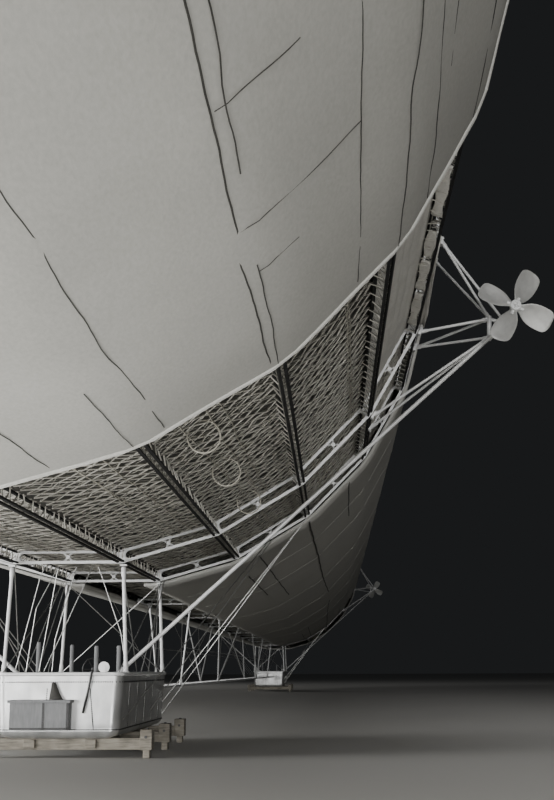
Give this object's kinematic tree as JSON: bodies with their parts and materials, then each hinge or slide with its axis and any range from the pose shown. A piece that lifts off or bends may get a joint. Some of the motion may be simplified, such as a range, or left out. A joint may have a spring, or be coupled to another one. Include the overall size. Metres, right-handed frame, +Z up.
{
  "type": "one-tenth scale model of a rigid airship with two gondolas on building cradles",
  "caption": "Rigid airship scale model with open hull bays, two engine gondolas, bracketed propellers, shafts, a gangway and rudders, resting on timber cradles.",
  "frame": {"origin": "on the floor under the middle of the ship's length, on its centre plane", "axes": "+X forward towards the bow, +Y to port, +Z up"},
  "size_m": [12.776, 1.4648, 1.4473],
  "materials": {
    "cover_cotton": "plain woven cotton, pale grey",
    "cell_cloth": "rubbered cloth, dark",
    "girder_aluminium": "rolled, dull",
    "sheet_aluminium": "riveted sheet, dull",
    "engine_iron": "dark cast",
    "locker_paint": "grey paint",
    "weathered_timber": "rough sawn, weathered"
  },
  "bodies": {
    "ship": {"envelope_bow": "cover_cotton", "envelope_middle": "cover_cotton", "envelope_stern": "cover_cotton", "frame_bow": "girder_aluminium", "frame_stern": "girder_aluminium", "keel_girder": "girder_aluminium", "gangway": "girder_aluminium", "gas_cell_bow_inner": "cell_cloth", "gas_cell_bow_outer": "cell_cloth", "gas_cell_middle": "cell_cloth", "gas_cell_stern_inner": "cell_cloth", "gas_cell_stern_outer": "cell_cloth", "gondola_bow": "sheet_aluminium", "gondola_stern": "sheet_aluminium", "gunwale_bow": "girder_aluminium", "gunwale_stern": "girder_aluminium", "engine_bow": "engine_iron", "engine_stern": "engine_iron", "gearbox_bow": "engine_iron", "gearbox_stern": "engine_iron", "locker_bow": "locker_paint", "locker_stern": "locker_paint", "steering_stand_bow": "engine_iron", "steering_stand_stern": "engine_iron", "cradle_bow": "weathered_timber", "cradle_stern": "weathered_timber", "outrigger_bow_port": "girder_aluminium", "outrigger_bow_starboard": "girder_aluminium", "outrigger_stern_port": "girder_aluminium", "outrigger_stern_starboard": "girder_aluminium", "rudder_frame_bow_upper": "girder_aluminium", "rudder_frame_bow_lower": "girder_aluminium", "rudder_frame_stern_port": "girder_aluminium", "rudder_frame_stern_starboard": "girder_aluminium"},
    "propeller_bow_port": {"propeller_bow_port": "sheet_aluminium"},
    "propeller_bow_starboard": {"propeller_bow_starboard": "sheet_aluminium"},
    "propeller_stern_port": {"propeller_stern_port": "sheet_aluminium"},
    "propeller_stern_starboard": {"propeller_stern_starboard": "sheet_aluminium"},
    "shaft_bow_port": {"shaft_bow_port": "girder_aluminium"},
    "shaft_bow_starboard": {"shaft_bow_starboard": "girder_aluminium"},
    "shaft_stern_port": {"shaft_stern_port": "girder_aluminium"},
    "shaft_stern_starboard": {"shaft_stern_starboard": "girder_aluminium"},
    "rudder_bow_upper": {"rudder_bow_upper": "cover_cotton"},
    "rudder_bow_lower": {"rudder_bow_lower": "cover_cotton"},
    "rudder_stern_port": {"rudder_stern_port": "cover_cotton"},
    "rudder_stern_starboard": {"rudder_stern_starboard": "cover_cotton"}
  },
  "joints": [
    {"name": "propeller_bow_port_spin", "type": "hinge", "parent": "ship", "child": "propeller_bow_port", "pos_m": [3.295, 0.677, 0.651], "axis": [1, 0, 0], "continuous": true},
    {"name": "propeller_bow_starboard_spin", "type": "hinge", "parent": "ship", "child": "propeller_bow_starboard", "pos_m": [3.295, -0.677, 0.651], "axis": [1, 0, 0], "continuous": true},
    {"name": "propeller_stern_port_spin", "type": "hinge", "parent": "ship", "child": "propeller_stern_port", "pos_m": [-3.295, 0.677, 0.651], "axis": [1, 0, 0], "continuous": true},
    {"name": "propeller_stern_starboard_spin", "type": "hinge", "parent": "ship", "child": "propeller_stern_starboard", "pos_m": [-3.295, -0.677, 0.651], "axis": [1, 0, 0], "continuous": true},
    {"name": "shaft_bow_port_spin", "type": "hinge", "parent": "ship", "child": "shaft_bow_port", "pos_m": [3.215, 0.677, 0.651], "axis": [0.0498, 0.7488, 0.6609], "continuous": true},
    {"name": "shaft_bow_starboard_spin", "type": "hinge", "parent": "ship", "child": "shaft_bow_starboard", "pos_m": [3.215, -0.677, 0.651], "axis": [0.0498, -0.7488, 0.6609], "continuous": true},
    {"name": "shaft_stern_port_spin", "type": "hinge", "parent": "ship", "child": "shaft_stern_port", "pos_m": [-3.215, 0.677, 0.651], "axis": [-0.0498, 0.7488, 0.6609], "continuous": true},
    {"name": "shaft_stern_starboard_spin", "type": "hinge", "parent": "ship", "child": "shaft_stern_starboard", "pos_m": [-3.215, -0.677, 0.651], "axis": [-0.0498, -0.7488, 0.6609], "continuous": true},
    {"name": "rudder_bow_upper_turn", "type": "hinge", "parent": "ship", "child": "rudder_bow_upper", "pos_m": [5.7, 0, 1.305], "axis": [0, 0, 1], "range_deg": [-30, 30]},
    {"name": "rudder_bow_lower_turn", "type": "hinge", "parent": "ship", "child": "rudder_bow_lower", "pos_m": [5.7, 0, 0.415], "axis": [0, 0, 1], "range_deg": [-30, 30]},
    {"name": "rudder_stern_port_turn", "type": "hinge", "parent": "ship", "child": "rudder_stern_port", "pos_m": [-5.7, 0.405, 0.86], "axis": [0, 0, 1], "range_deg": [-30, 30]},
    {"name": "rudder_stern_starboard_turn", "type": "hinge", "parent": "ship", "child": "rudder_stern_starboard", "pos_m": [-5.7, -0.405, 0.86], "axis": [0, 0, 1], "range_deg": [-30, 30]}
  ],
  "couplings": [
    {"joint": "shaft_bow_port_spin", "follows": "propeller_bow_port_spin", "ratio": 1},
    {"joint": "shaft_bow_starboard_spin", "follows": "propeller_bow_starboard_spin", "ratio": 1},
    {"joint": "shaft_stern_port_spin", "follows": "propeller_stern_port_spin", "ratio": 1},
    {"joint": "shaft_stern_starboard_spin", "follows": "propeller_stern_starboard_spin", "ratio": 1},
    {"joint": "rudder_bow_lower_turn", "follows": "rudder_bow_upper_turn", "ratio": 1},
    {"joint": "rudder_stern_starboard_turn", "follows": "rudder_stern_port_turn", "ratio": 1}
  ]
}
